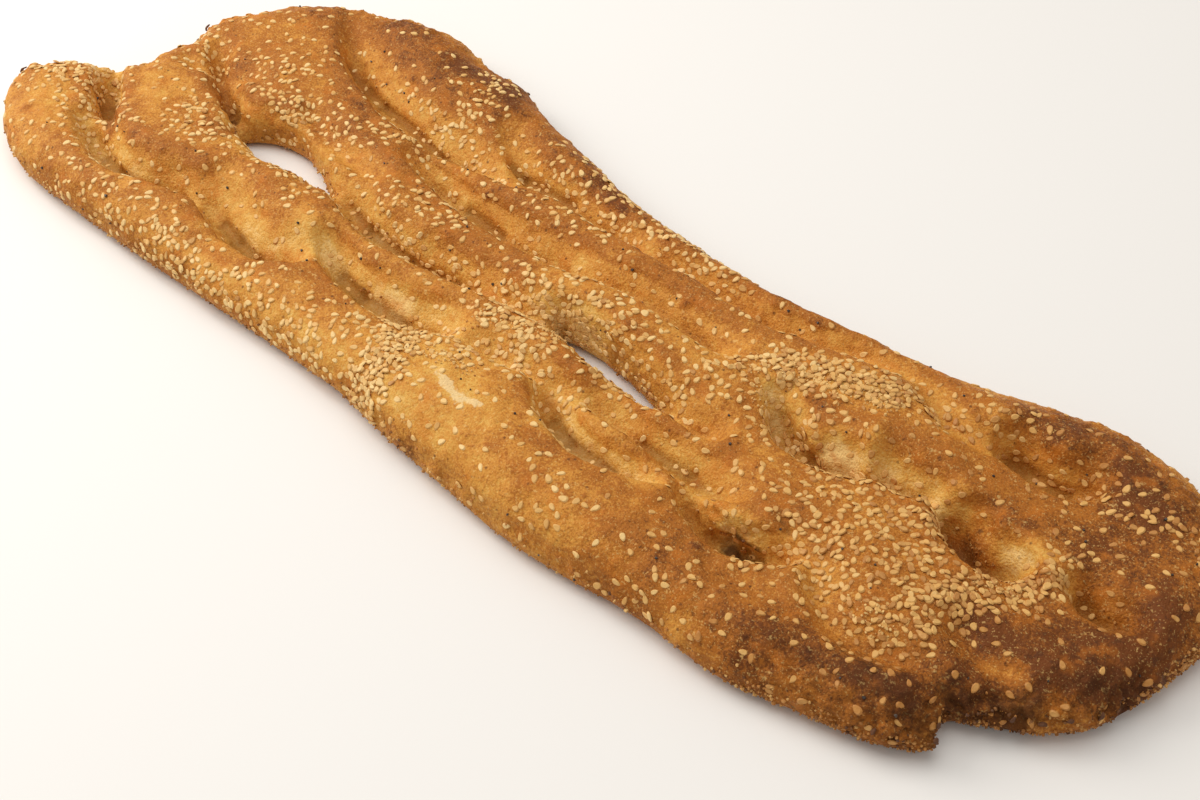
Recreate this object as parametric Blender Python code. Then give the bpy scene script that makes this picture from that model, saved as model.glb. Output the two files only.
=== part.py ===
"""Barbari bread: one long flat loaf, ridged lengthwise by fingers pressed into it, with two open slits.

X runs along the loaf, Y across it and Z up. The origin is under its middle, on the surface it lies on.
Lengths in the lists below are millimetres; MM turns them into Blender's metres.
"""

import math

import bmesh
import bpy
import numpy as np
from mathutils import Vector
from mathutils.geometry import delaunay_2d_cdt

MM = 0.001

# Driving dimensions of the loaf.
RIDGE_HEIGHT = 24.0  # from the baking surface to the top of an ordinary ridge
THINNEST = 5.0  # crust left under the deepest finger mark
RIM_HEIGHT = 8.0  # height at which the side of the loaf bulges furthest out
SIDE_ROUND = 24.0  # how far in from the side the top starts to roll over
UNDER_ROUND = 8.0  # how far in from the side the underside lifts off
SLIT_RIM_HEIGHT = 6.0
SLIT_ROUND = 10.0
SLIT_UNDER_ROUND = 5.0
CELL = 2.5  # spacing of the grid that the surface is first laid out on
EDGE_CLEARANCE = 0.6  # share of a cell that the grid stays away from the edges
CURVE_STEP = 3.0  # spacing of the points read from each smooth curve
SOLID_TRIANGLES = 9800
FILL_HULL = 0  # the triangulation covers everything between the points

# The loaf's edge, seen from above, anticlockwise from the far right.
OUTLINE = [
    (234, 84), (209, 81), (182, 72), (158, 67), (128, 64), (79, 60), (19, 64.5), (-10, 69), (-40, 78),
    (-75, 88), (-100, 98.5), (-122, 100), (-134, 104), (-151, 107.5), (-171, 106), (-197, 98), (-218, 89.5),
    (-237, 77), (-249, 61), (-260, 46), (-261, 32), (-256, 18), (-259, 4), (-259, -9), (-271, -17),
    (-292, -34), (-300, -48), (-298, -58), (-288, -71), (-268, -85), (-238, -94), (-197, -95.5),
    (-147, -96), (-97, -95), (-57, -95), (-27, -95.5), (3, -100), (43, -104), (73, -107), (103, -106),
    (138, -102.5), (173, -103.5), (203, -97), (228, -91), (243, -83.5), (249, -77), (243, -72), (246, -65.5),
    (254, -60.5), (262, -56), (271, -50.5), (284, -36), (292, -14), (297, 10), (298, 28), (291, 51),
    (277, 69), (258, 80),
]  # fmt: skip

# The slits that go right through, each an outline of its own.
SLITS = {
    "long_slit": [
        (-184, -12), (-175, -3), (-161, 0.5), (-146, -1), (-133, -6), (-120, -13.5), (-117, -18.5),
        (-128, -21.5), (-146, -23), (-161, -22.5), (-175, -18),
    ],
    "short_slit": [
        (20, -13), (28, -11), (42, -11), (60, -13.5), (74, -17.5), (83, -22.5), (78, -25), (62, -25),
        (46, -23.5), (30, -19),
    ],
}  # fmt: skip

# Each furrow: the line of its floor, its depth, how wide it slopes up on the near (-Y) and far (+Y) sides,
# and whether it is a crease between two rolls of dough (0), a bowl pressed by a fingertip (1), or between.
FURROWS = {
    "far_left": (
        [(-212, 86), (-194, 69), (-172, 53), (-150, 44), (-128, 37), (-108, 35), (-80, 37), (-38, 38)],
        18, 8, 34, 0.3,
    ),
    "far_middle": ([(-90, 68), (-61, 49), (-45, 46), (-23, 45), (0, 43), (35, 42)], 16, 7.5, 22, 0.4),
    "far_right": (
        [(-15, 44), (22, 42), (52, 44), (82, 41), (105, 43), (130, 48), (155, 50), (180, 50)],
        12.5, 8, 12, 0.4,
    ),
    "centre_left": (
        [(-112, 25), (-80, 17), (-61, 13), (-45, 11), (-15, 11), (5, 11), (32, 14)],
        18, 8, 23, 0.4,
    ),
    "centre_right": ([(-6, 12), (22, 15), (42, 17), (65, 14), (97, 12)], 12.5, 7.5, 16, 0.4),
    "slit_row_left": (
        [(-244, 28), (-229, 12), (-214, 2), (-200, -5), (-186, -10), (-155, -12)],
        14, 6, 14, 0.4,
    ),
    "slit_row_middle": (
        [(-128, -13), (-101, -20), (-88, -25), (-73, -28), (-58, -28), (-45, -26), (-30, -24), (5, -18)],
        18, 8, 21, 0.4,
    ),
    "slit_row_right": ([(-20, -21), (15, -19), (36, -18)], 11, 7.5, 14, 0.3),
    "slit_row_end": ([(66, -21), (95, -24), (118, -24)], 12, 7.5, 13, 0.4),
    "near_middle": (
        [(-98, -40), (-75, -52), (-55, -57), (-42, -58), (-25, -56), (2, -46)],
        19, 8, 27, 0.55,
    ),
    "near_left": (
        [(-170, -50), (-148, -60), (-130, -66), (-112, -68), (-98, -66), (-76, -56)],
        19, 8.5, 31, 0.55,
    ),
    "near_end": (
        [(-252, -50), (-229, -63), (-208, -71), (-191, -71), (-175, -67), (-138, -56)],
        19, 8, 22, 0.45,
    ),
    "left_pit": ([(-276, -16), (-264, -27), (-252, -38), (-242, -46), (-232, -52)], 19, 7.5, 13, 0.7),
    "right_crease": (
        [(112, 12), (124, -1), (135, -7), (148, -8), (162, -4), (180, 4)],
        19, 7.5, 18, 0.75,
    ),
    "right_hollow": ([(160, 2), (174, 0), (186, 1), (200, 7)], 13, 7, 17, 0.7),
    "thumb_pit": ([(194, 10), (202, -3), (213, -10), (226, -9), (236, 4)], 25, 7, 25, 1.0),
    "end_dimple": ([(248, 7), (258, -1), (269, -2), (282, 6)], 11, 7, 15, 1.0),
    "far_pit": ([(191, 49), (203, 43), (215, 40), (227, 43), (242, 54)], 17, 7, 18, 0.9),
    "far_dent": ([(152, 50), (170, 40), (186, 37), (206, 42)], 8, 7.5, 14, 0.5),
    "front_hollow": ([(34, -42), (55, -57), (74, -64), (92, -63), (120, -52)], 17, 8, 20, 0.6),
    "front_crease": ([(-10, -52), (27, -47), (47, -45), (80, -42)], 9, 6, 13, 0.3),
    "front_valley": ([(48, -41), (75, -43), (97, -44), (118, -46), (146, -46)], 14.5, 7.5, 20, 0.4),
    "torn_crease": (
        [(108, -48), (120, -54), (132, -61), (145, -64), (160, -58), (176, -50)],
        20, 7, 13, 0.5,
    ),
    "torn_hole": ([(133, -58), (143, -60), (152, -58), (159, -54)], 22, 4, 7, 1.0),
    "front_dent": (
        [(160, -46), (175, -52), (188, -63), (202, -70), (222, -66), (240, -56)],
        7, 8, 15, 0.6,
    ),
    "notch_dimple": ([(222, -36), (240, -46), (262, -49)], 6, 12, 15, 0.6),
    "left_dent": ([(-246, 0), (-218, 6), (-192, 14)], 7, 6, 14, 0.5),
    "slit_side_dent": ([(-168, 13), (-123, 1), (-92, -4)], 9, 7.5, 14, 0.4),
}  # fmt: skip
FLOOR_SOFTNESS = 0.1  # how far the floor of a furrow is rounded, as a share of its width
FURROW_TAPER = 0.3  # share of a furrow's length over which it fades in and out at each end
SHOULDER_SHARE = 0.2  # share of a furrow's depth by which it also pulls down the ridges beside it
SHOULDER_WIDTH = 17.0
FURROW_BLEND = 4.0  # power that merges furrows where they meet
FLOOR_LEVELLING = 1.5  # how gradually the deepest floors level out above the thinnest crust

# Slow waves all over the top: height, wave length along and across the loaf over two pi, and shift.
WAVES = [(0.9, 23, 31, 0.0), (0.7, 41, -17, 1.3)]

# Broad swellings and hollows of the loaf: centre, half length, half width and height.
SWELLS = {
    "front_bulge": ((60, -80), 85, 26, 4.0),
    "left_shoulder": ((-150, 78), 70, 26, 2.5),
    "front_left_ridge": ((-160, -82), 90, 20, 1.5),
    "right_end": ((262, 10), 40, 60, -3.0),
    "left_lobe": ((-280, -52), 32, 30, -2.0),
    "left_end": ((-245, 20), 30, 60, -3.0),
    "waist_ridge": ((60, 0), 60, 12, 2.0),
    "seed_mound": ((125, 30), 40, 18, 2.5),
    "far_right_mound": ((215, 62), 40, 20, 2.0),
    "far_ridge": ((95, 55), 90, 8, 4.0),
}


def smooth_line(points, closed=False):
    """Evenly spaced points, in millimetres, on a Catmull-Rom curve through the given ones."""
    p = np.array(points, float)
    if closed:
        p = np.vstack([p[-1], p, p[:2]])
    else:
        p = np.vstack([2 * p[0] - p[1], p, 2 * p[-1] - p[-2]])
    stretches = []
    for a, b, c, d in zip(p[:-3], p[1:-2], p[2:-1], p[3:]):
        t = np.linspace(0, 1, max(2, round(np.linalg.norm(c - b) / CURVE_STEP) + 1))[:-1, None]
        stretches.append(
            b
            + 0.5 * t * (c - a)
            + t**2 * (a - 2.5 * b + 2 * c - 0.5 * d)
            + t**3 * (1.5 * (b - c) + 0.5 * (d - a))
        )
    return np.vstack([*stretches, p[-2]])


def nearest_on(line, points):
    """For each point: distance to the line, closest spot, side of the line (left +1) and the way along."""
    start, run = line[:-1], np.diff(line, axis=0)
    length = np.hypot(*run.T)
    before = np.concatenate([[0], np.cumsum(length)[:-1]])
    found = []
    for some in np.array_split(points, max(1, len(points) // 4000)):
        off = some[:, None] - start
        share = np.clip((off * run).sum(-1) / length**2, 0, 1)
        gap = off - share[..., None] * run
        k = np.argmin((gap**2).sum(-1), axis=1)
        row = np.arange(len(some))
        side = np.where(run[k, 0] * gap[row, k, 1] >= run[k, 1] * gap[row, k, 0], 1.0, -1.0)
        found.append(
            np.column_stack(
                [np.hypot(*gap[row, k].T), some - gap[row, k], side, before[k] + share[row, k] * length[k]]
            )
        )
    gap, foot_x, foot_y, side, way = np.vstack(found).T
    return gap, np.column_stack([foot_x, foot_y]), side, way


def encloses(loop, points):
    """Whether each point is inside the closed line, by counting how often a ray to the right crosses it."""
    x, y = points.T
    inside = np.zeros(len(points), bool)
    for (x0, y0), (x1, y1) in zip(loop[:-1], loop[1:]):
        if y0 != y1:
            inside ^= ((y0 > y) != (y1 > y)) & (x < x0 + (y - y0) * (x1 - x0) / (y1 - y0))
    return inside


def edges_of_loaf(points):
    """For each edge of the loaf: distance into the dough, closest spot, both roundings and rim height."""
    found = []
    for line, dough_inside, sizes in (
        (OUTLINE, True, (SIDE_ROUND, UNDER_ROUND, RIM_HEIGHT)),
        *((slit, False, (SLIT_ROUND, SLIT_UNDER_ROUND, SLIT_RIM_HEIGHT)) for slit in SLITS.values()),
    ):
        loop = smooth_line(line, closed=True)
        gap, foot, _, _ = nearest_on(loop, points)
        found.append((np.where(encloses(loop, points) == dough_inside, gap, -gap), foot, *sizes))
    return found


def furrow_depth(points):
    """How far the finger marks press the top down at each point, in millimetres."""
    total = np.zeros(len(points))
    for line, depth, near, far, bowl in FURROWS.values():
        floor = smooth_line(line)
        reach = max(near, far, 2 * SHOULDER_WIDTH)
        close = np.all((points > floor.min(0) - reach) & (points < floor.max(0) + reach), axis=1)
        gap, _, side, way = nearest_on(floor, points[close])
        length = np.hypot(*np.diff(floor, axis=0).T).sum()
        fade = np.sin(np.clip(np.minimum(way, length - way) / (FURROW_TAPER * length), 0, 1) * math.pi / 2)
        across = np.clip(gap / np.where(side > 0, far, near), 0, 1)
        across = np.hypot(across, FLOOR_SOFTNESS) - FLOOR_SOFTNESS
        across = np.clip(across / (1 - FLOOR_SOFTNESS), 0, 1) * math.pi / 2
        groove = 1 - np.sin(across)
        groove += bowl * (np.cos(across) ** 2 - groove)
        shoulder = np.exp(-((gap / SHOULDER_WIDTH) ** 2))
        dip = depth * fade * (groove + (shoulder - groove) * SHOULDER_SHARE)
        total[close] += dip**FURROW_BLEND
    return total ** (1 / FURROW_BLEND)


def ridge_top(points):
    """Height of the loaf's top if no finger had pressed it."""
    x, y = points.T
    height = np.full(len(points), RIDGE_HEIGHT)
    for rise, along, across, shift in WAVES:
        height += rise * np.sin(x / along + y / across + shift)
    for (cx, cy), half_length, half_width, rise in SWELLS.values():
        height += rise * np.exp(-(((x - cx) / half_length) ** 2) - ((y - cy) / half_width) ** 2)
    return height


def top_height(points):
    height = ridge_top(points) - furrow_depth(points)
    return THINNEST + np.logaddexp(0, (height - THINNEST) / FLOOR_LEVELLING) * FLOOR_LEVELLING


def rolled(points, edges, above):
    """Points moved towards the closest edge to follow its rounding, with how far up the rounding each is."""
    angle = np.full(len(points), math.pi / 2)
    moved, rim = points.copy(), np.zeros(len(points))
    for inwards, foot, round_above, round_below, height in edges:
        radius = round_above if above else round_below
        turn = np.clip(inwards / radius, 0, 1) * math.pi / 2
        closer = turn < angle
        angle = np.where(closer, turn, angle)
        rim = np.where(closer, height, rim)
        share = radius * (1 - np.cos(turn)) / np.maximum(inwards, 1e-6)
        moved = np.where(closer[:, None], foot + (points - foot) * np.clip(share, 0, 1)[:, None], moved)
    return moved, np.sin(angle), rim


def flat_dough(bm, cell):
    """A flat sheet of triangles with the loaf's outline and slits, and how many vertices lie on the edges."""
    loops = [smooth_line(line, closed=True)[:-1] for line in (OUTLINE, *SLITS.values())]
    low, high = loops[0].min(0), loops[0].max(0)
    x, y = np.meshgrid(np.arange(low[0], high[0], cell), np.arange(low[1], high[1], cell * math.sqrt(0.75)))
    x[::2] += cell / 2
    inner = np.column_stack([x.ravel(), y.ravel()])
    inner = inner[np.min([edge[0] for edge in edges_of_loaf(inner)], axis=0) > EDGE_CLEARANCE * cell]
    points = [Vector(p) for p in np.vstack([*loops, inner]).tolist()]
    links, first = [], 0
    for loop in loops:
        ring = range(first, first + len(loop))
        links += zip(ring, [*ring[1:], first])
        first += len(loop)
    places, _, faces, *_ = delaunay_2d_cdt(points, links, [], FILL_HULL, 1e-6)
    verts = [bm.verts.new((*p, 0)) for p in places]
    middles = np.array([np.mean([places[i] for i in face], axis=0) for face in faces])
    solid = np.min([edge[0] for edge in edges_of_loaf(middles)], axis=0) > 0
    for face in (f for f, keep in zip(faces, solid) if keep):
        bm.faces.new([verts[i] for i in face])
    return verts, first


def shape_side(verts, above):
    places = np.array([v.co.xy for v in verts])
    moved, lift, rim = rolled(places, edges_of_loaf(places), above)
    full = top_height(moved) if above else np.zeros(len(moved))
    heights = rim + (full - rim) * lift
    for v, (x, y), z in zip(verts, moved, heights):
        v.co = (x * MM, y * MM, z * MM)


def loaf_mesh():
    bm = bmesh.new()
    top, border = flat_dough(bm, CELL)
    upper_faces = set(bm.faces)
    copy = bmesh.ops.duplicate(bm, geom=[*bm.verts, *bm.faces])
    under = [copy["vert_map"][v] for v in top]
    bmesh.ops.reverse_faces(bm, faces=[f for f in bm.faces if f not in upper_faces])
    shape_side(top, above=True)
    shape_side(under, above=False)
    bmesh.ops.weld_verts(bm, targetmap=dict(zip(under[:border], top[:border])))
    mesh = bpy.data.meshes.new("barbari_bread")
    bm.to_mesh(mesh)
    bm.free()
    return mesh


def crust_material():
    material = bpy.data.materials.new("crust")
    material.use_nodes = True
    shader = material.node_tree.nodes["Principled BSDF"]
    shader.inputs["Base Color"].default_value = (0.42, 0.19, 0.055, 1)
    shader.inputs["Roughness"].default_value = 0.55
    shader.inputs["Metallic"].default_value = 0.0
    return material


def main():
    for obj in list(bpy.data.objects):
        bpy.data.objects.remove(obj, do_unlink=True)
    mesh = loaf_mesh()
    mesh.materials.append(crust_material())
    mesh.shade_smooth()
    loaf = bpy.data.objects.new("barbari_bread", mesh)
    bpy.context.scene.collection.objects.link(loaf)
    coarser = loaf.modifiers.new("coarser", "DECIMATE")
    coarser.ratio = SOLID_TRIANGLES / len(mesh.polygons)


main()
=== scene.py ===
import math

import bmesh
import bpy
import numpy as np
from mathutils import Matrix, Vector, noise
from mathutils.bvhtree import BVHTree


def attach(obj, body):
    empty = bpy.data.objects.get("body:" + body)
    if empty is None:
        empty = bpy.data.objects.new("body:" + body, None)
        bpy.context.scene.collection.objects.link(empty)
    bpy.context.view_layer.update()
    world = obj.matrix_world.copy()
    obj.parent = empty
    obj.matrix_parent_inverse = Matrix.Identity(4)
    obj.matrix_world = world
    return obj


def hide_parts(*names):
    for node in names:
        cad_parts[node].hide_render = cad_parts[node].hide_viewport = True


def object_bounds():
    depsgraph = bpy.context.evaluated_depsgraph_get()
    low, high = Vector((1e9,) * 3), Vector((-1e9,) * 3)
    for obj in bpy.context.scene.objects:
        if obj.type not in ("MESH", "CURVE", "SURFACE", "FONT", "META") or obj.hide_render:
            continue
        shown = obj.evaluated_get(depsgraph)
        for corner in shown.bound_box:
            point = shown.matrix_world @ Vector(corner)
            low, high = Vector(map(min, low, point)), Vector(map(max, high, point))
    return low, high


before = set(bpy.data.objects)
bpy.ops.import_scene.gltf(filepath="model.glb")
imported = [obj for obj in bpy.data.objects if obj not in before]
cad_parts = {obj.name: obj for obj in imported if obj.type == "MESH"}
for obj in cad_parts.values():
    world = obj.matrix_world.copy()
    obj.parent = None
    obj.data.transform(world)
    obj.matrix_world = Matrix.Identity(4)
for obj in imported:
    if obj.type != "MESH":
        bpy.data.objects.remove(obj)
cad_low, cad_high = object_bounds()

# -----------------------------------------------------------------------------------------------
# Camera, table and light.
# The loaf lies on a plain white table. The camera looks down on it from beyond its near right
# corner, and soft daylight comes from the left and from overhead, with a weaker wash from all round.

CAMERA_PLACE = (0.3577, -0.3751, 0.480)
CAMERA_DOWN = 46.0
CAMERA_TURN = 41.0
CAMERA_LENS = 49.2

camera_data = bpy.data.cameras.new("camera")
camera_data.lens = CAMERA_LENS
camera_data.clip_start = 0.01
camera = bpy.data.objects.new("camera", camera_data)
camera.location = CAMERA_PLACE
camera.rotation_euler = (math.radians(90 - CAMERA_DOWN), 0, math.radians(CAMERA_TURN))
bpy.context.scene.collection.objects.link(camera)
bpy.context.scene.camera = camera
bpy.context.scene.view_settings.view_transform = "Standard"


def plug(tree, socket, value):
    """Give a node's input a number or a colour, or link the output of another node to it."""
    if isinstance(value, Socket):
        tree.links.new(value.output, socket)
    else:
        socket.default_value = value


class Socket:
    """A node's output. Adding, subtracting or multiplying it makes a Math node in the same tree."""

    def __init__(self, tree, output):
        self.tree = tree
        self.output = output

    def math(self, operation, *others):
        node = self.tree.nodes.new("ShaderNodeMath")
        node.operation = operation
        for socket, value in zip(node.inputs, (self, *others)):
            plug(self.tree, socket, value)
        return Socket(self.tree, node.outputs[0])

    def __add__(self, other):
        return self.math("ADD", other)

    def __mul__(self, other):
        return self.math("MULTIPLY", other)

    def __sub__(self, other):
        return self.math("SUBTRACT", other)

    def __rsub__(self, other):
        return (self * -1.0) + other

    __radd__ = __add__

    def rise(self, low, high):
        """0 below low, 1 above high, and smooth in between."""
        node = self.tree.nodes.new("ShaderNodeMapRange")
        node.interpolation_type = "SMOOTHSTEP"
        self.tree.links.new(self.output, node.inputs["Value"])
        node.inputs["From Min"].default_value = low
        node.inputs["From Max"].default_value = high
        return Socket(self.tree, node.outputs["Result"])


class Finish:
    """A material with a Principled BSDF, and the few ways in which nodes are added to it."""

    def __init__(self, name, roughness, **plain):
        self.material = bpy.data.materials.new(name)
        self.material.use_nodes = True
        self.tree = self.material.node_tree
        self.shader = self.tree.nodes["Principled BSDF"]
        self.shader.inputs["Roughness"].default_value = roughness
        for socket, value in plain.items():
            self.shader.inputs[socket.replace("_", " ")].default_value = value
        self.place = self.node("ShaderNodeTexCoord", "Object")

    def node(self, kind, output=0, settings=(), **inputs):
        made = self.tree.nodes.new(kind)
        for name, value in dict(settings).items():
            setattr(made, name, value)
        for name, value in inputs.items():
            plug(self.tree, made.inputs[name.replace("_", " ")], value)
        return Socket(self.tree, made.outputs[output])

    def grain(self, size, detail=3.0, roughness=0.55):
        """Noise around 0.5 whose lumps are about size metres across."""
        return self.node(
            "ShaderNodeTexNoise", Vector=self.place, Scale=1 / size, Detail=detail, Roughness=roughness
        )

    def attribute(self, name):
        return self.node("ShaderNodeAttribute", "Fac", {"attribute_name": name})

    def mix(self, share, first, second):
        """The colour first, changed to second by the share, which is a number or a socket."""
        made = self.tree.nodes.new("ShaderNodeMix")
        made.data_type = "RGBA"
        for number, value in ((0, share), (6, first), (7, second)):
            plug(self.tree, made.inputs[number], value)
        return Socket(self.tree, made.outputs[2])

    def into(self, name, socket):
        self.tree.links.new(socket.output, self.shader.inputs[name])

    def bump(self, height, depth):
        """Small relief: height is 0 to 1, and depth is how much that is in metres."""
        self.into("Normal", self.node("ShaderNodeBump", Height=height, Distance=depth, Strength=1.0))


def srgb(red, green, blue):
    """A colour given as 0 to 255 on a screen, in the linear values that a shader takes."""
    shares = (red / 255, green / 255, blue / 255)
    return (*(c / 12.92 if c < 0.04045 else ((c + 0.055) / 1.055) ** 2.4 for c in shares), 1.0)


def add_piece(name, mesh, finish=None):
    """An object at the origin for a finished mesh."""
    piece = bpy.data.objects.new(name, mesh)
    bpy.context.scene.collection.objects.link(piece)
    if finish:
        mesh.materials.clear()
        mesh.materials.append(finish.material)
    return piece


TABLE_SIZE = 6.0
table_mesh = bpy.data.meshes.new("table")
table_form = bmesh.new()
bmesh.ops.create_grid(table_form, x_segments=1, y_segments=1, size=TABLE_SIZE / 2)
table_form.to_mesh(table_mesh)
table_form.free()
table_finish = Finish("table", 0.6, Base_Color=srgb(240, 238, 234))
add_piece("table", table_mesh, table_finish)


def add_soft_light(name, place, size, power, colour):
    """A square soft light that faces the middle of the loaf."""
    light = bpy.data.lights.new(name, "AREA")
    light.size = size
    light.energy = power
    light.color = colour
    lamp = bpy.data.objects.new(name, light)
    lamp.location = place
    lamp.rotation_euler = (-Vector(place)).to_track_quat("-Z", "Y").to_euler()
    bpy.context.scene.collection.objects.link(lamp)


add_soft_light("window", place=(-1.2, -0.3, 0.9), size=0.9, power=14.4, colour=(1.0, 0.975, 0.935))
add_soft_light("overhead", place=(-0.25, 0.2, 1.6), size=1.5, power=10.5, colour=(1.0, 0.98, 0.95))

WASH_COLOUR = (1.0, 0.96, 0.925, 1)
WASH_STRENGTH = 0.5
room = bpy.data.worlds.new("room")
room.use_nodes = True
wash = room.node_tree.nodes["Background"]
wash.inputs["Color"].default_value = WASH_COLOUR
wash.inputs["Strength"].default_value = WASH_STRENGTH
bpy.context.scene.world = room

# -----------------------------------------------------------------------------------------------
# The crust.
# One skin of baked dough round the whole loaf, glazed with flour paste before it is baked, so that
# it browns on the ridges and stays pale in the finger marks. It is blistered, and charred at the
# torn end. Shade is painted into its folds, pits and torn slit, and light onto valley floors and
# walls that lie in shade.

MM = 0.001

# The solid is cut into fine cells and smoothed. Up to UNDERSIDE above the table, where nothing is
# added to it, only a share of the triangles is kept.
CELL = 0.00145
SMOOTHINGS = 3
UNDERSIDE = 0.0007
UNDERSIDE_KEPT = 0.7

merged = bmesh.new()
merged.from_mesh(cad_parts["barbari_bread"].data)
bmesh.ops.remove_doubles(merged, verts=merged.verts, dist=1e-5)
coarse = bpy.data.meshes.new("coarse")
merged.to_mesh(coarse)
merged.free()


def with_modifiers(piece):
    """A mesh of the piece as its modifiers leave it; the piece itself is taken away."""
    graph = bpy.context.evaluated_depsgraph_get()
    mesh = bpy.data.meshes.new_from_object(piece.evaluated_get(graph))
    bpy.data.objects.remove(piece)
    return mesh


dough = add_piece("dough", coarse)
even = dough.modifiers.new("even", "REMESH")
even.mode = "VOXEL"
even.voxel_size = CELL
soft = dough.modifiers.new("soft", "SMOOTH")
soft.factor = 0.5
soft.iterations = SMOOTHINGS
fine = with_modifiers(dough)

dough = add_piece("dough", fine)
under = dough.vertex_groups.new(name="underside")
under.add([v.index for v in fine.vertices if v.co.z < UNDERSIDE], 1.0, "REPLACE")
thin = dough.modifiers.new("thin", "DECIMATE")
thin.ratio = UNDERSIDE_KEPT
thin.vertex_group = "underside"
thin.vertex_group_factor = 10.0
crust_mesh = with_modifiers(dough)
crust_mesh.name = "crust"


def read_points(rows, name):
    """One value of three numbers from each row of a mesh's vertices or normals, as an array."""
    values = np.zeros(len(rows) * 3, np.float32)
    rows.foreach_get(name, values)
    return values.reshape(-1, 3).astype(float)


points = read_points(crust_mesh.vertices, "co")
normals = read_points(crust_mesh.vertex_normals, "vector")


# How far each spot stands above or below the loaf around it, from a map of heights that is blurred.

MAP_CELL = 0.002
MAP_MARGIN = 5
map_low = np.array([cad_low.x, cad_low.y]) - MAP_MARGIN * MAP_CELL
map_size = np.ceil((np.array([cad_high.x, cad_high.y]) - map_low) / MAP_CELL).astype(int) + MAP_MARGIN
upper = points[normals[:, 2] > 0.1]
cells = ((upper[:, :2] - map_low) / MAP_CELL).astype(int)
height_map = np.zeros(map_size)
np.maximum.at(height_map, (cells[:, 0], cells[:, 1]), upper[:, 2])
filled = (height_map > 0).astype(float)


def blur(grid, reach):
    """The map blurred by a bell curve whose half width is reach, in metres."""
    steps = int(3 * reach / MAP_CELL)
    bell = np.exp(-0.5 * (np.arange(-steps, steps + 1) * MAP_CELL / reach) ** 2)
    for axis in (0, 1):
        grid = np.apply_along_axis(lambda row: np.convolve(row, bell / bell.sum(), "same"), axis, grid)
    return grid


def around(reach):
    """The mean height of the loaf within reach of every cell, leaving out the table."""
    return blur(height_map * filled, reach) / np.maximum(blur(filled, reach), 0.05)


def read_map(grid, places):
    """The map's values at the places, read between its cells."""
    spot = (places[:, :2] - map_low) / MAP_CELL - 0.5
    low = np.clip(np.floor(spot).astype(int), 0, np.array(grid.shape) - 2)
    share = np.clip(spot - low, 0, 1)
    x, y = low.T
    u, v = share.T
    top = grid[x, y + 1] * (1 - u) + grid[x + 1, y + 1] * u
    bottom = grid[x, y] * (1 - u) + grid[x + 1, y] * u
    return top * v + bottom * (1 - v)


def spread(value, low, high):
    """0 at low and short of it, 1 at high and past it, smooth in between. Low may be the larger one."""
    share = np.clip((value - low) / (high - low), 0, 1)
    return share * share * (3 - 2 * share)


rise = read_map((around(0.006) - around(0.016)) * filled, points) / MM
crest = read_map((around(0.0025) - around(0.007)) * filled, points) / MM


def to_line(places, start, end):
    """How many millimetres each place is, seen from above, from the line between start and end."""
    start, end = np.array(start) * MM, np.array(end) * MM
    run = end - start
    share = np.clip(((places[:, :2] - start) @ run) / max(run @ run, 1e-12), 0, 1)
    return np.hypot(*(places[:, :2] - start - share[:, None] * run).T) / MM


def patches(places, stretches):
    """The sum of soft-edged patches at each place: start, end, half width and strength of each."""
    total = np.zeros(len(places))
    for start, end, reach, strength in stretches:
        total += strength * np.exp(-((to_line(places, start, end) / reach) ** 2))
    return total


def lumps(places, size, octaves=1, seed=0.0):
    """Noise of about -1 to 1 whose lumps are size metres across, at each place."""
    shift = Vector((seed, 2.7 * seed, -1.3 * seed))
    found = [noise.fractal(Vector(p) / size + shift, 0.9, 2.1, octaves) for p in places.tolist()]
    return np.array(found)


# Each row of these lists is a stretch with soft edges: start, end and half width in millimetres,
# and its strength. TORN is ragged. PRESSED is pushed in by its strength in millimetres, or raised
# where that is below 0.
TORN = [
    ((240, -78), (256, -60), 11, 1.3), ((262, -56), (292, -20), 10, 0.9), ((292, -20), (290, 50), 9, 0.6),
    ((280, 62), (210, 80), 9, 0.5), ((190, -100), (240, -84), 9, 0.6), ((130, -58), (160, -55), 8, 0.7),
    ((-256, -10), (-260, 40), 8, 0.9), ((-255, 55), (-235, 80), 8, 0.8), ((-300, -52), (-275, -20), 8, 0.7),
    ((-215, 90), (-110, 98), 8, 0.5),
]  # fmt: skip
PRESSED = [
    ((206, -2), (214, -9), 5, 3.0), ((196, -10), (204, -18), 7, -2.2), ((214, -19), (232, -18), 6, -1.5),
    ((136, -61), (150, -59), 4, 0.8), ((251, 4), (258, 0), 5, 1.8), ((196, 44), (204, 41), 5, 2.5),
    ((-197, -6), (-195, -8), 4, 3.0), ((-260, -27), (-250, -36), 4, 2.0), ((150, -77), (192, -73), 5, 1.8),
    ((140, -92), (184, -88), 6, -1.6), ((159, 13), (167, -3), 4.5, -3.6), ((124, 11), (139, 1), 3.2, -2.4),
    ((160, 16), (186, 20), 7, -2.6), ((-172, -20), (-128, -23), 5, -2.6), ((32, -20), (70, -22.5), 3.5, -1.6),
]  # fmt: skip
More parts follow.
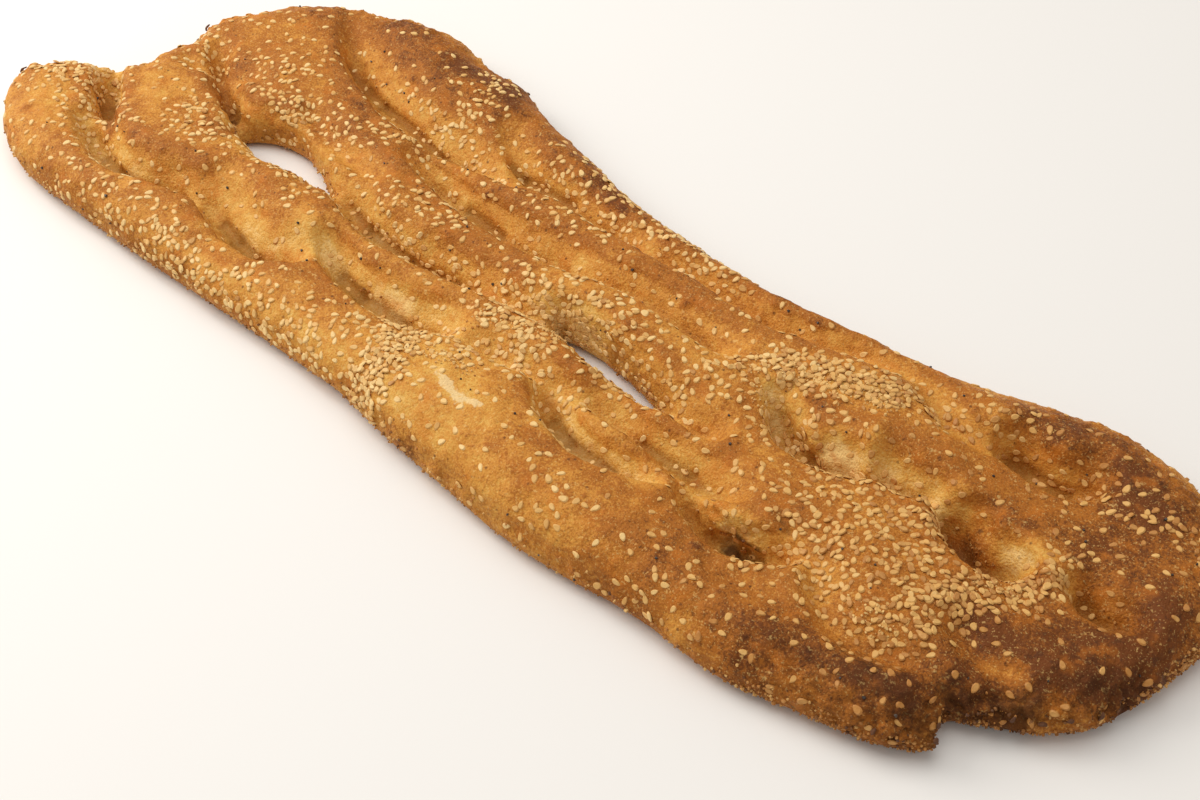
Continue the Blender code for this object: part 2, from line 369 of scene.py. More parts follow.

# Where a finger has pressed the skin into a sharp fold at the bottom of a furrow: rows of the same
# kind, with the fold's depth in millimetres. Before each fold lies a roll of dough. The folds, and
# the spots lower than the dough round them, are also darkened with painted shade.
CREASES = [
    ((-261, -33), (-252, -38), 3.2, 2.2), ((-221, -64), (-203, -68), 2.6, 1.6),
    ((-203, -68), (-178, -70), 2.6, 2.0), ((-252, -38), (-231, -51), 3.0, 2.2),
    ((-178, -70), (-163, -64), 2.6, 1.4), ((-141, -58), (-127, -62), 2.8, 2.4),
    ((-127, -62), (-112, -65), 2.8, 2.2), ((-112, -65), (-94, -64), 2.6, 1.4),
    ((-73, -49), (-58, -52), 2.8, 2.4), ((-58, -52), (-31, -52), 2.8, 2.2),
    ((-101, -16), (-87, -21), 2.2, 1.4), ((-87, -21), (-58, -24), 2.4, 2.4),
    ((-58, -24), (-32, -20), 2.2, 1.8), ((-184, 59), (-166, 53), 2.6, 1.5),
    ((-166, 53), (-149, 48), 2.0, 2.0), ((-149, 48), (-101, 39), 2.0, 2.8),
    ((-101, 39), (-68, 36), 2.0, 1.8), ((-63, 19), (-41, 16), 2.4, 2.4), ((-68, 53), (-60, 51), 2.2, 2.2),
    ((-60, 51), (-28, 50), 2.4, 2.4), ((-202, -4), (-197, -6), 3.2, 2.0), ((54, -54), (66, -59), 2.6, 2.0),
    ((66, -59), (90, -60), 2.4, 1.8), ((89, -41), (114, -42), 2.6, 2.0), ((114, -42), (130, -44), 2.2, 1.4),
    ((134, -58), (141, -57), 1.6, 1.0), ((142, -57), (157, -56), 1.5, 2.6), ((201, 0), (209, -2), 3.0, 1.8),
    ((209, -2), (226, -4), 3.0, 1.8), ((203, 46), (226, 46), 2.6, 2.0), ((257, 2), (263, -1), 3.0, 1.6),
    ((263, -1), (276, 1), 3.0, 1.3), ((134, 1), (142, -3), 2.6, 1.8), ((142, -3), (154, -6), 2.2, 1.5),
    ((173, 3), (189, 4), 2.6, 1.0), ((157, -44), (162, -46), 1.8, 1.8), ((42, 13), (80, 13), 2.2, 1.4),
]  # fmt: skip
ROLL_SHIFT = (2.4, -4.2)
ROLL_REACH = 3.2
ROLL_SHARE = 0.45
rolls = [
    (tuple(np.add(start, ROLL_SHIFT)), tuple(np.add(end, ROLL_SHIFT)), ROLL_REACH, ROLL_SHARE * depth)
    for start, end, _, depth in CREASES
]
folds = patches(points, CREASES)

# The dough's own unevenness, in millimetres: wide swells, then wrinkles, then a roughness that is
# strongest at the torn rims.
upward = spread(normals[:, 2], -0.55, 0.15) * spread(points[:, 2], 0.0005, 0.004)
side = spread(normals[:, 2], 0.75, 0.1)
torn = np.clip(patches(points, TORN), 0, 1.3)
relief = 0.9 * lumps(points, 0.022, 1) + 0.55 * lumps(points, 0.009, 2, 3.0)
relief += 0.32 * lumps(points, 0.0038, 2, 7.0)
relief += torn * (2.6 * lumps(points, 0.0048, 3, 5.0) - 0.3) + 0.45 * side * lumps(points, 0.005, 2, 5.0)
relief += 0.8 * spread(crest, 0.6, 2.4) - 1.2 * spread(crest, -1.5, -4.0) - patches(points, PRESSED)
relief += patches(points, rolls) - folds

BLISTERS = 420
BLISTER_REACH = (1.2, 3.6)
BLISTER_STEEPNESS = (0.15, 0.5)
dice = np.random.default_rng(11)
top_spots = np.flatnonzero(normals[:, 2] > 0.35)
blister_height = np.zeros(len(points))
for spot in dice.choice(top_spots, BLISTERS, replace=False):
    reach = dice.uniform(*BLISTER_REACH) * MM
    gap = np.linalg.norm(points - points[spot], axis=1)
    dome = np.clip(1 - (gap / reach) ** 2, 0, 1) ** 1.5
    blister_height = np.maximum(blister_height, dome * dice.uniform(*BLISTER_STEEPNESS) * reach / MM / 2)
relief += blister_height

# No fold comes through the underside: the top stays THINNEST above the table, or where the solid is
# if that is lower.
THINNEST = 0.0012
lowest = np.where(normals[:, 2] > 0, np.minimum(points[:, 2], THINNEST), 0)
points += normals * (relief * upward * MM)[:, None]
points[:, 2] = np.maximum(points[:, 2], lowest)
crust_mesh.vertices.foreach_set("co", points.astype(np.float32).ravel())
crust_mesh.update()
crust_mesh.shade_smooth()
normals = read_points(crust_mesh.vertex_normals, "vector")

# How brown, charred and floury each spot is, kept with the mesh for the finish to read: rows of the
# same kind, whose strength is added to the shade, or taken from it where the crust is paler. The
# brown and the char also carry painted shade and painted light, as the rows below say.
CHARRED_AND_PAINTED_SHADE = [
    ((286, 12), (278, -26), 14, 0.25), ((264, -54), (242, -62), 6, 0.8), ((216, -74), (243, -76), 13, 0.45),
    ((211, 66), (216, 70), 12, 0.2), ((240, 62), (262, 60), 14, 0.25), ((268, 62), (290, 40), 12, 0.25),
    ((185, -89), (240, -84), 12, 0.35), ((262, -48), (290, -20), 9, 0.5),
    # Painted shade: the first row below darkens the torn slit, which lies in shadow.
    ((143, -56.5), (157, -55.5), 1.7, 2.2), ((15, -104), (22, -102), 4, 0.6),
    ((-110, 95), (-95, 96), 5, 0.4), ((176, 68), (196, 76), 8, 0.2),
    # Painted shade: the first row below darkens the deep pit on the left lobe, and the last the wall of the
    # pit near x 212.
    ((-197, -6), (-195, -8), 3, 0.9), ((-255, -12), (-262, 30), 5, 0.5), ((208, -6), (216, -8), 5, 0.3),
]  # fmt: skip
# Partly painted shade: the rows round the pits near x 200 to 260 darken pit walls that lie in shade. The
# other rows are the crust's own browning.
BROWNER_AND_PAINTED_SHADE = [
    ((-230, 75), (-100, 92), 18, 0.55), ((-100, 92), (-10, 66), 11, 0.5), ((60, -75), (140, -78), 20, 0.2),
    ((212, 60), (290, 45), 22, 0.6), ((240, 12), (290, -10), 30, 0.6), ((190, -90), (245, -80), 22, 0.8),
    ((250, -45), (285, -10), 22, 0.5), ((-240, 25), (-150, 30), 30, 0.25), ((60, 30), (90, 30), 20, 0.15),
    ((155, -40), (240, -45), 20, 0.2), ((120, -98), (180, -100), 16, 0.4), ((-20, 58), (160, 60), 9, 0.4),
    ((-300, -55), (-262, -90), 12, 0.4), ((206, 0), (215, -8), 6, 0.7), ((-215, 2), (-205, -3), 6, 0.4),
    ((254, 3), (260, -2), 4, 0.3), ((197, 46), (206, 41), 4, 0.2), ((-230, -94), (-20, -101), 7, 0.35),
    ((-125, 78), (-95, 70), 14, 0.42), ((250, -52), (292, -15), 13, 0.6), ((293, -15), (297, 30), 10, 0.3),
    ((87, -41), (113, -52), 4, 0.5), ((250, 21), (284, 13), 12, 0.22), ((210, 5), (220, 3), 4, 0.35),
    ((-234, -48), (-226, -54), 5, 1.0), ((128, 14), (141, 9), 4, 0.4), ((-150, 6), (-136, 10), 5, 0.5),
    ((246, 52), (262, 46), 8, 0.5), ((230, -34), (240, -38), 7, 0.7), ((-188, -26), (-178, -24), 6, 0.5),
    ((-224, 14), (-214, 12), 6, 0.5), ((-60, -100), (140, -103), 7, 0.3), ((-170, -96), (-60, -96), 6, 0.2),
    ((203, 2), (220, -3), 5, 0.7), ((162, 18), (184, 18), 7, 0.15),
]  # fmt: skip
# Partly painted light: besides the paler bake of the valleys, many rows lighten valley floors, pit walls and
# the hollow above the torn slit where these lie in shade.
PALER_AND_PAINTED_LIGHT = [
    ((-60, -40), (5, -40), 18, 0.26), ((-110, -84), (10, -84), 12, 0.2), ((-40, -66), (40, -72), 16, 0.3),
    ((-260, -10), (-230, -20), 16, 0.2), ((-280, -66), (-200, -70), 16, 0.35), ((146, 3), (157, 1), 6, 0.6),
    ((60, -52), (110, -40), 14, 0.2), ((-160, -40), (-100, -45), 14, 0.15),
    ((222, 2), (232, 6), 7, 0.6), ((262, -1), (268, -4), 6, 0.5), ((212, 46), (224, 48), 8, 0.5),
    ((214, -19), (232, -18), 7, 0.3), ((-100, -10), (-60, -12), 12, 0.2), ((-175, -80), (-120, -78), 9, 0.35),
    ((35, -84), (110, -88), 14, 0.33), ((0, 5), (80, 5), 8, 0.35), ((60, -64), (108, -62), 8, 0.8),
    ((246, -47), (255, -44), 5, 1.0), ((112, 20), (150, 32), 8, 0.5), ((148, 4), (156, 2), 4, 0.4),
    ((173, 6), (192, 4), 5, 0.5), ((222, 5), (234, 4), 5, 0.5), ((-52, -47), (-36, -47), 5, 0.45),
    ((-124, -58), (-102, -58), 5, 0.35), ((-99, -44), (-84, -46), 8, 0.7), ((12, -10), (24, -13), 7, 0.6),
    ((195, 12), (201, 8), 5, 0.4), ((240, 6), (250, 2), 6, 0.7), ((113, 8), (120, 2), 5, 0.6),
    ((160, 12), (168, 4), 5, 0.4), ((188, 52), (196, 47), 6, 0.6), ((140, -54), (154, -51), 4, 0.6),
    ((30, -8), (40, -9), 5, 0.6),
]  # fmt: skip
FLOURED = [
    ((10, -73), (19, -77), 2.2, 0.9), ((19, -77), (29, -79), 3.0, 1.1), ((29, -79), (38, -77), 2.4, 0.9),
]  # fmt: skip

brown_and_painted_shading = 0.28 + 0.42 * spread(rise, -4.0, 3.0) + 0.34 * spread(crest, 0.25, 1.6)
brown_and_painted_shading += patches(points, BROWNER_AND_PAINTED_SHADE) - patches(points, PALER_AND_PAINTED_LIGHT)
brown_and_painted_shading += 0.2 * lumps(points, 0.024, 2, 9.0) + 0.2 * lumps(points, 0.008, 2, 13.0)
brown_and_painted_shading += 0.55 * spread(blister_height, 0.25, 0.8)
char_and_painted_shade = np.clip(patches(points, CHARRED_AND_PAINTED_SHADE) * (1 + 0.5 * lumps(points, 0.0045, 3, 17.0)), 0, 1.2)
for name, values in (
    ("brown_and_painted_shading", brown_and_painted_shading),
    ("char_and_painted_shade", char_and_painted_shade),
    ("flour", np.clip(patches(points, FLOURED), 0, 1)),
    ("under", spread(normals[:, 2], -0.4, -0.85)),
    # Painted shade in the folds and in spots lower than the dough round them.
    ("painted_crease_shade", 0.5 * spread(crest, -1.7, -3.2) + 0.9 * spread(folds, 0.3, 2.0)),
):
    crust_mesh.attributes.new(name, "FLOAT", "POINT").data.foreach_set("value", values.astype(np.float32))

PALEST = srgb(240, 202, 130)
PALE_GOLD = srgb(220, 168, 80)
GOLD = srgb(208, 142, 58)
BROWN = srgb(172, 103, 34)
DARK_BROWN = srgb(112, 60, 20)
CHAR_AND_PAINTED_SHADE = srgb(62, 33, 14)
FLOUR = srgb(240, 214, 160)
ORANGE = srgb(200, 116, 34)
CREAM = srgb(232, 192, 118)
FRECKLE = srgb(84, 46, 20)
PAINTED_CREASE_SHADE = srgb(132, 80, 24)
UNDER_CRUST = srgb(196, 138, 72)
UNDER_BROWN = srgb(146, 92, 42)

crust_finish = Finish("crust", 0.6, Specular_IOR_Level=0.16)
mottle = crust_finish.grain(0.006, 4.0, 0.62)
fleck = crust_finish.grain(0.0018, 3.0, 0.6)
speck = crust_finish.grain(0.0009, 2.0, 0.5)
shade = crust_finish.attribute("brown_and_painted_shading") + (mottle - 0.5) * 0.9 + (fleck - 0.5) * 0.9 + (speck - 0.5) * 0.7
colour = crust_finish.mix(shade.rise(-0.6, 0.15), PALEST, PALE_GOLD)
colour = crust_finish.mix(shade.rise(0.0, 0.5), colour, GOLD)
colour = crust_finish.mix(shade.rise(0.4, 1.0), colour, BROWN)
colour = crust_finish.mix(shade.rise(0.95, 1.7), colour, DARK_BROWN)
colour = crust_finish.mix(crust_finish.grain(0.011, 3.0).rise(0.52, 0.7) * 0.45, colour, ORANGE)
pale_bits = crust_finish.grain(0.0024, 3.0, 0.65).rise(0.6, 0.7)
colour = crust_finish.mix(pale_bits * 0.5, colour, CREAM)
colour = crust_finish.mix(crust_finish.grain(0.0008, 2.0, 0.5).rise(0.6, 0.7) * 0.4, colour, CREAM)
dots = crust_finish.node("ShaderNodeTexVoronoi", "Distance", Vector=crust_finish.place, Scale=1 / 0.005)
dotted = crust_finish.grain(0.02, 1.0) + crust_finish.attribute("brown_and_painted_shading") * 0.15
dot_mask = (1.0 - dots.rise(0.06, 0.18)) * dotted.rise(0.52, 0.68)
colour = crust_finish.mix(dot_mask * 0.7, colour, FRECKLE)
scorched = (crust_finish.grain(0.0045, 4.0, 0.7) + crust_finish.attribute("brown_and_painted_shading") * 0.08).rise(0.7, 0.78)
colour = crust_finish.mix(scorched * 0.65, colour, FRECKLE)
# Painted shade: the folds and hollows are darkened towards a shadowed brown.
crease_shade_mask = (crust_finish.attribute("painted_crease_shade") + (fleck - 0.5) * 0.8).rise(0.0, 1.2)
colour = crust_finish.mix(crease_shade_mask * 0.6, colour, PAINTED_CREASE_SHADE)
underside = crust_finish.mix(crust_finish.grain(0.014, 5.0, 0.65).rise(0.35, 0.8), UNDER_CRUST, UNDER_BROWN)
colour = crust_finish.mix(crust_finish.attribute("under") * 0.85, colour, underside)
# Charred crust, and painted shade in the torn slit and in two pits.
burnt_and_painted_shade = (crust_finish.attribute("char_and_painted_shade") + (mottle - 0.5) * 0.55 + (fleck - 0.5) * 0.7).rise(0.05, 1.1)
colour = crust_finish.mix(burnt_and_painted_shade * 0.8, colour, CHAR_AND_PAINTED_SHADE)
dusted = (crust_finish.attribute("flour") + (mottle - 0.5) * 1.8 + (fleck - 0.5) * 1.4).rise(0.5, 0.9)
colour = crust_finish.mix(dusted * 0.7, colour, FLOUR)
crust_finish.into("Base Color", colour)
crust_finish.into("Roughness", 0.58 + burnt_and_painted_shade * 0.2 + dusted * 0.3 + (mottle - 0.5) * 0.25)
crust_finish.bump(mottle * 0.5 + fleck * 0.3 + speck * 0.2, 0.0014)

crust = add_piece("crust", crust_mesh, crust_finish)
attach(crust, "root")
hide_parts("barbari_bread")

# -----------------------------------------------------------------------------------------------
# Sesame seeds.
# Hulled seeds strewn over the glazed dough before baking: flat drops, cream to golden, lying any
# way round. They are thick where a handful fell and heaped in one place.

# A seed's size in millimetres, the corners round it, and how much of its width its top has.
SEED_LENGTH = 3.5
SEED_WIDTH = 2.25
SEED_THICKNESS = 0.42
SEED_ROUND = 11
SEED_TOP = 0.7
SHARP_ANGLE = 38

# Seeds nearer than the gap lie on each other, each layer so much higher, and only where they are
# sown thick or heaped, in seeds to a square centimetre.
SEED_GAP = 2.05
LAYER_RISE = 0.38
THICK = 6
HEAPED = 16

# Where they fell: start and end of a stretch, half width, and seeds to a square centimetre.
SEEDED = [
    ((-15, -62), (-10, -90), 10, 27), ((-50, -72), (-25, -70), 8, 5), ((-140, -91), (-40, -91), 9, 7),
    ((-210, -88), (-140, -88), 9, 4), ((5, -30), (22, -38), 11, 12), ((2, -8), (22, -14), 12, 9),
    ((20, 2), (45, 0), 10, 5), ((0, -50), (10, -60), 8, 6), ((55, -28), (85, -22), 9, 6),
    ((96, 4), (108, 14), 9, 8), ((110, 20), (152, 32), 7, 40), ((150, 36), (178, 43), 7, 7),
    ((244, 8), (240, -12), 6, 15), ((240, -12), (226, -28), 8, 16), ((226, -28), (215, -55), 10, 10),
    ((196, -8), (205, -25), 8, 8), ((165, -12), (215, -38), 16, 7), ((150, -62), (158, -66), 7, 9),
    ((180, -50), (210, -60), 14, 6), ((150, -25), (175, -50), 14, 6), ((166, -6), (200, -9), 6, 5),
    ((190, 50), (200, 58), 8, 5), ((228, 44), (288, 46), 9, 6), ((-180, 12), (-165, 8), 9, 7),
    ((-165, 8), (-135, 14), 8, 5), ((-125, 22), (-100, 30), 8, 6), ((-74, 1), (-55, 0), 9, 6),
    ((-35, 38), (5, 40), 8, 6), ((0, 58), (60, 52), 8, 7), ((-54, 54), (0, 58), 9, 4),
    ((-108, 85), (-98, 60), 9, 7), ((-130, 55), (-60, 36), 6, 5), ((-198, -34), (-180, -32), 8, 5),
    ((-285, -45), (-262, -30), 10, 7), ((-276, -36), (-230, -60), 14, 4), ((-200, 25), (-185, 30), 10, 5),
    ((-250, 25), (-230, 10), 10, 5), ((-205, -20), (-190, -25), 8, 6), ((-90, -15), (-60, -18), 8, 5),
    ((-175, -22), (-110, -28), 7, 5), ((75, -85), (90, -92), 9, 4), ((130, -84), (140, -95), 8, 5),
    ((40, -20), (80, -24), 8, 4), ((45, -5), (95, -2), 10, 4), ((-40, -20), (0, -22), 10, 5),
    ((120, -10), (135, 2), 7, 9), ((30, -45), (60, -48), 7, 5), ((-30, 70), (-10, 66), 8, 4),
]  # fmt: skip
SEEDS_ANYWHERE = 1.2

# Where few fell: rows of the same kind, with the share of the seeds that is missing.
FEW_SEEDS = [
    ((60, -85), (130, -82), 18, 0.5), ((240, -60), (285, 0), 22, 0.5), ((216, 16), (226, 5), 12, 0.8),
    ((-230, 80), (-130, 88), 24, 0.5), ((-150, -60), (-60, -60), 11, 0.6), ((250, 66), (290, 50), 14, 0.3),
    ((-80, 85), (-70, 70), 12, 0.5), ((-150, 40), (-130, 45), 12, 0.5), ((60, 40), (90, 40), 10, 0.4),
]  # fmt: skip


def seed_form(length, width, thickness, sides):
    """One drop-shaped grain, narrower towards +X, widest at its flat underside and bevelled above."""
    form = bmesh.new()
    bmesh.ops.create_circle(form, cap_ends=True, segments=sides, radius=0.5)
    raised = bmesh.ops.extrude_face_region(form, geom=form.faces[:])["geom"]
    top = [v for v in raised if isinstance(v, bmesh.types.BMVert)]
    bmesh.ops.scale(form, verts=top, vec=(SEED_TOP, SEED_TOP, 1))
    bmesh.ops.translate(form, verts=top, vec=(0, 0, 1))
    for v in form.verts:
        v.co.y *= 1 - 0.6 * v.co.x
        v.co.z *= 1 - 0.35 * v.co.x
    bmesh.ops.recalc_face_normals(form, faces=form.faces)
    bmesh.ops.scale(form, verts=form.verts, vec=(length * MM, width * MM, thickness * MM))
    bmesh.ops.triangulate(form, faces=form.faces)
    form.verts.index_update()
    corners = np.array([v.co for v in form.verts])
    faces = np.array([[v.index for v in f.verts] for f in form.faces])
    form.free()
    return corners, faces


def strewn(name, form, spots, ups, turns, sizes, lifts, tones):
    """One mesh of many copies of a form, each turned and set on its spot with its own up, size and tone.

    The attribute edge is 1 at the corners of each copy's underside and 0 at those of its top.
    """
    corners, faces = form
    forward = np.column_stack([np.cos(turns), np.sin(turns), np.zeros(len(turns))])
    right = np.cross(ups, forward)
    right /= np.linalg.norm(right, axis=1)[:, None]
    forward = np.cross(right, ups)
    scaled = corners[None] * sizes[:, None, :]
    placed = (
        spots[:, None]
        + scaled[..., :1] * forward[:, None]
        + scaled[..., 1:2] * right[:, None]
        + (scaled[..., 2:] + lifts[:, None, None]) * ups[:, None]
    )
    count, each = len(spots), len(corners)
    mesh = bpy.data.meshes.new(name)
    mesh.from_pydata(
        placed.reshape(-1, 3), [], (faces[None] + (np.arange(count) * each)[:, None, None]).reshape(-1, 3)
    )
    edge = (corners[:, 2] <= 0).astype(float)
    for label, values in (("tone", np.repeat(tones, each)), ("edge", np.tile(edge, count))):
        mesh.attributes.new(label, "FLOAT", "POINT").data.foreach_set("value", values.astype(np.float32))
    mesh.shade_smooth()
    mesh.set_sharp_from_angle(angle=math.radians(SHARP_ANGLE))
    return mesh


def skin_triangles(mesh):
    """The corners and the areas of the mesh's triangles."""
    mesh.calc_loop_triangles()
    index = np.zeros(len(mesh.loop_triangles) * 3, np.int32)
    mesh.loop_triangles.foreach_get("vertices", index)
    corners = read_points(mesh.vertices, "co")[index.reshape(-1, 3)]
    area = np.linalg.norm(np.cross(corners[:, 1] - corners[:, 0], corners[:, 2] - corners[:, 0]), axis=1) / 2
    return corners, area, index.reshape(-1, 3)


skin, skin_area, skin_index = skin_triangles(crust_mesh)
skin_middle = skin.mean(axis=1)
skin_up = normals[skin_index].mean(axis=1)
skin_up /= np.linalg.norm(skin_up, axis=1)[:, None]


def scatter(per_square_cm, dice):
    """Random spots on the crust, as thick as the triangles ask, with their normals and triangles."""
    expected = skin_area * 1e4 * per_square_cm
    total = np.cumsum(expected)
    count = int(total[-1])
    chosen = np.searchsorted(total, (np.arange(count) + dice.random(count)) * total[-1] / count)
    chosen = dice.permutation(np.clip(chosen, 0, len(total) - 1))
    share = dice.random((count, 2))
    flip = share.sum(axis=1) > 1
    share[flip] = 1 - share[flip]
    corner = skin[chosen]
    one_side, other_side = corner[:, 1] - corner[:, 0], corner[:, 2] - corner[:, 0]
    spots = corner[:, 0] + share[:, :1] * one_side + share[:, 1:] * other_side
    return spots, skin_up[chosen], chosen


def layered(spots, gap, limit):
    """The layer that each grain lies in: 0 on the crust, 1 on others, -1 where it would pass its limit."""
    taken, layers = {}, []
    for place, most in zip(spots / gap, limit):
        home = tuple(np.floor(place).astype(int))
        near = [
            (other, layer)
            for i in (-1, 0, 1)
            for j in (-1, 0, 1)
            for k in (-1, 0, 1)
            for other, layer in taken.get((home[0] + i, home[1] + j, home[2] + k), ())
            if np.linalg.norm(other - place) < 1
        ]
        layer = 1 + max((layer for _, layer in near), default=-1)
        if layer <= most:
            taken.setdefault(home, []).append((place, layer))
            layers.append(layer)
        else:
            layers.append(-1)
    return np.array(layers)


seed_dice = np.random.default_rng(5)
facing = spread(skin_up[:, 2], -0.25, 0.2) * spread(skin_middle[:, 2], 0.002, 0.005)
sown = SEEDS_ANYWHERE + patches(skin_middle, SEEDED)
sown *= np.clip(1 - patches(skin_middle, FEW_SEEDS), 0.1, 1) * (1 + 0.35 * lumps(skin_middle, 0.012, 2, 21.0))
spots, ups, chosen = scatter(np.clip(sown, 0, None) * facing, seed_dice)
most_layers = np.where(sown[chosen] > HEAPED, 2, np.where(sown[chosen] > THICK, 1, 0))
layer = layered(spots, SEED_GAP * MM, most_layers)
kept = layer >= 0
spots, ups, layer, chosen = spots[kept], ups[kept], layer[kept], chosen[kept]
count = len(spots)
tilt = seed_dice.normal(0, 0.07, (count, 3)) + seed_dice.normal(0, 0.17, (count, 3)) * (layer > 0)[:, None]
ups = ups + tilt
ups /= np.linalg.norm(ups, axis=1)[:, None]
sizes = np.clip(seed_dice.normal(1, 0.09, (count, 1)), 0.72, 1.25) * seed_dice.normal(1, 0.06, (count, 3))
lifts = (LAYER_RISE * layer + seed_dice.normal(0, 0.06, count)) * MM
# Seeds are toasted darker where the crust is charred, and also where shade is painted into the torn slit and
# pits.
tones = seed_dice.beta(2.0, 3.2, count) + 0.5 * char_and_painted_shade[skin_index[chosen, 0]]
tones = np.clip(tones + 0.38 * spread(spots[:, 0], 0.02, 0.26), 0, 1)
turns = seed_dice.uniform(0, 2 * math.pi, count)
sesame_form = seed_form(SEED_LENGTH, SEED_WIDTH, SEED_THICKNESS, SEED_ROUND)
seed_mesh = strewn("sesame_seeds", sesame_form, spots, ups, turns, sizes, lifts, tones)

SEED_CREAM = srgb(236, 200, 134)
SEED_GOLD = srgb(220, 170, 96)
SEED_TOASTED = srgb(182, 122, 56)

seed_finish = Finish("sesame", 0.5, Specular_IOR_Level=0.35)
tone = seed_finish.attribute("tone") + (seed_finish.grain(0.0016, 2.0) - 0.5) * 0.4
tone = tone + seed_finish.attribute("edge") * 0.25
colour = seed_finish.mix(tone.rise(0.1, 0.6), SEED_CREAM, SEED_GOLD)
colour = seed_finish.mix(tone.rise(0.6, 1.1), colour, SEED_TOASTED)
seed_finish.into("Base Color", colour)
seed_finish.bump(seed_finish.grain(0.0007, 2.0), 0.00012)

seeds = add_piece("sesame_seeds", seed_mesh, seed_finish)
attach(seeds, "root")

# -----------------------------------------------------------------------------------------------
# Black seeds.
# A few nigella and poppy seeds came along with the sesame: black, angular drops about a millimetre long.

# Seeds to a square centimetre, their length in millimetres and how far they sink in, and colours.
BLACK_SEEDS = 0.075
BLACK_SIZE = 1.25
BLACK_SINK = 0.05
BLACK = srgb(38, 33, 32)
DUSTY_BLACK = srgb(84, 66, 52)

black_dice = np.random.default_rng(8)
spots, ups, chosen = scatter(BLACK_SEEDS * facing, black_dice)
count = len(spots)
turns = black_dice.uniform(0, 2 * math.pi, count)
sizes = black_dice.uniform(0.65, 1.25, (count, 1)) * black_dice.normal(1, 0.1, (count, 3))
lifts = np.full(count, -BLACK_SINK * MM)
tones = black_dice.random(count)
black_form = seed_form(BLACK_SIZE, BLACK_SIZE * 0.85, BLACK_SIZE * 0.55, 8)
black_mesh = strewn("black_seeds", black_form, spots, ups, turns, sizes, lifts, tones)
black_finish = Finish("black_seed", 0.5)
black_shade = black_finish.attribute("tone") * 0.7 + black_finish.grain(0.0006) * 0.3
black_finish.into("Base Color", black_finish.mix(black_shade, BLACK, DUSTY_BLACK))
black_seeds = add_piece("black_seeds", black_mesh, black_finish)
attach(black_seeds, "root")

# -----------------------------------------------------------------------------------------------
# Bran and semolina.
# The dough was turned on a board strewn with bran and semolina. The grains stick along the sides,
# most of all low down and round both ends, and curled flakes of scorched bran hang on the edge.
# Crushed seeds lie in a few clots.

# Grains to a square centimetre, their length in millimetres, and rows as for the sesame seeds.
GRAINS_ON_SIDES = 12.0
GRAIN_SIZE = 1.25
GRAINY = [
    ((190, -100), (243, -84), 12, 40), ((246, -66), (297, 10), 13, 70), ((297, 10), (260, 80), 10, 40),
    ((-256, -10), (-260, 40), 8, 30), ((-255, 55), (-235, 80), 8, 25), ((-300, -52), (-275, -20), 9, 25),
    ((-230, -95), (40, -104), 9, 14),
]  # fmt: skip
CLOTS = [
    ((0, -38), (30, -26), 4, 26), ((114, 18), (156, 28), 5, 40), ((0, -66), (18, -64), 3, 45),
    ((104, 12), (114, -2), 4, 24), ((224, -22), (236, -15), 4, 30), ((204, -58), (214, -60), 5, 30),
    ((-120, -14), (-108, -22), 3, 20), ((28, -10), (50, -9), 2, 20), ((-12, -74), (-8, -80), 5, 16),
]  # fmt: skip

# Each flake's x, y and length, in millimetres.
FLAKE_SPOTS = [
    (89, 61, 4.6), (90, 63, 3.2), (113, 62.5, 2.2), (126, 64, 2.4), (139, 64.5, 2.0), (190, 76, 2.4),
    (239, 83.5, 4.0), (241, 83, 3.0), (250, 81.5, 2.6), (-300, -50, 4.2), (-299, -47, 2.2),
    (-262, 34, 4.0), (-256, 66, 3.4),
    (-160, 106.5, 2.6), (40, 63.5, 2.0), (247, -79, 3.6), (245, -74, 3.0), (272, -50.5, 3.4), (286, -34, 3.6),
    (-259, 22, 2.8), (-245, 72, 2.6), (-215, 90, 2.4), (-131, 103, 2.6), (-100, 98, 2.8), (262, -55, 2.6),
    (279, -44, 2.8), (205, 80, 2.2), (222, 83, 2.8), (281, 65, 3.0), (230, -90, 2.6), (-120, 99.5, 2.2),
]  # fmt: skip

low_down = spread(skin_middle[:, 2], 0.018, 0.006) * spread(skin_up[:, 2], 0.65, 0.2)
low_down *= spread(skin_middle[:, 2], 0.001, 0.003)
clotted = patches(skin_middle, CLOTS) * spread(skin_up[:, 2], 0.2, 0.6)
grain_dice = np.random.default_rng(21)
grainy = (GRAINS_ON_SIDES + patches(skin_middle, GRAINY)) * low_down
grainy *= np.clip(0.6 + 0.9 * lumps(skin_middle, 0.011, 2, 31.0), 0.05, 2)
spots, ups, chosen = scatter(grainy + clotted, grain_dice)
count = len(spots)
turns = grain_dice.uniform(0, 2 * math.pi, count)
sizes = grain_dice.uniform(0.45, 1.3, (count, 1)) * grain_dice.normal(1, 0.2, (count, 3))
lifts = grain_dice.uniform(-0.2, 0.0, count) * MM
# Grains are darker where the crust is charred, and also where shade is painted into the torn slit and pits.
tones = grain_dice.beta(1.6, 2.4, count) + 0.4 * char_and_painted_shade[skin_index[chosen, 0]] - 0.02 * clotted[chosen]
grain_form = seed_form(GRAIN_SIZE, GRAIN_SIZE * 0.75, GRAIN_SIZE * 0.55, 6)
grain_mesh = strewn("semolina_grains", grain_form, spots, ups, turns, sizes, lifts, np.clip(tones, 0, 1))

SEMOLINA_PALE = srgb(226, 184, 112)
SEMOLINA_GOLD = srgb(186, 124, 56)
BRAN_BROWN = srgb(92, 54, 24)

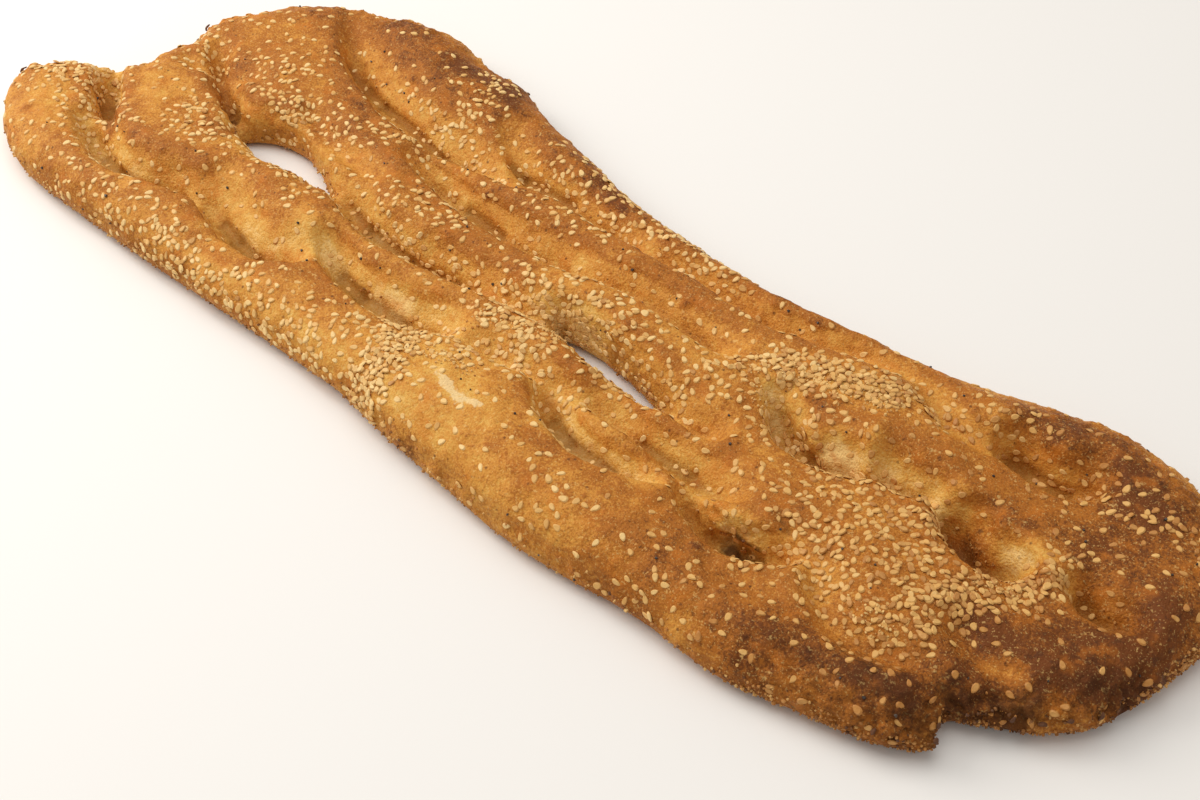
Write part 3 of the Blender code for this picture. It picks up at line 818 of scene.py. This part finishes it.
grain_finish = Finish("semolina", 0.7)
grain_tone = grain_finish.attribute("tone")
colour = grain_finish.mix(grain_tone.rise(0.0, 0.5), SEMOLINA_PALE, SEMOLINA_GOLD)
colour = grain_finish.mix(grain_tone.rise(0.5, 1.0), colour, BRAN_BROWN)
grain_finish.into("Base Color", colour)
grains = add_piece("semolina_grains", grain_mesh, grain_finish)
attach(grains, "root")

FLAKE_SHAPE = (1.0, 0.62, 0.3)
FLAKE_DARK = srgb(58, 34, 20)
FLAKE_PALE = srgb(122, 74, 38)

tree = BVHTree.FromPolygons(points.tolist(), skin_index.tolist())
flakes = bmesh.new()
flake_dice = np.random.default_rng(4)
for x, y, size in FLAKE_SPOTS:
    where, up, _, _ = tree.find_nearest(Vector((x * MM, y * MM, 0.012)))
    made = bmesh.ops.create_icosphere(flakes, subdivisions=2, radius=size * MM / 2)["verts"]
    bmesh.ops.scale(flakes, verts=made, vec=FLAKE_SHAPE)
    for v in made:
        v.co *= 1 + 0.55 * noise.noise(v.co / (0.35 * size * MM) + Vector((x, y, 0)))
        v.co.z += 0.16 * size * MM * math.cos(3 * v.co.x / (size * MM))
    spin = Matrix.Rotation(flake_dice.uniform(0, 2 * math.pi), 3, "Z")
    lean = Matrix.Rotation(flake_dice.uniform(-0.7, 0.7), 3, "X")
    turn = up.to_track_quat("Z", "X").to_matrix() @ spin @ lean
    bmesh.ops.rotate(flakes, verts=made, cent=(0, 0, 0), matrix=turn)
    bmesh.ops.translate(flakes, verts=made, vec=where + up * 0.22 * size * MM)
bmesh.ops.recalc_face_normals(flakes, faces=flakes.faces)
flake_mesh = bpy.data.meshes.new("bran_flakes")
flakes.to_mesh(flake_mesh)
flakes.free()
flake_mesh.shade_smooth()
flake_finish = Finish("bran", 0.75)
flake_finish.into("Base Color", flake_finish.mix(flake_finish.grain(0.0012), FLAKE_DARK, FLAKE_PALE))
flake_finish.bump(flake_finish.grain(0.0008), 0.0003)
bran = add_piece("bran_flakes", flake_mesh, flake_finish)
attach(bran, "root")
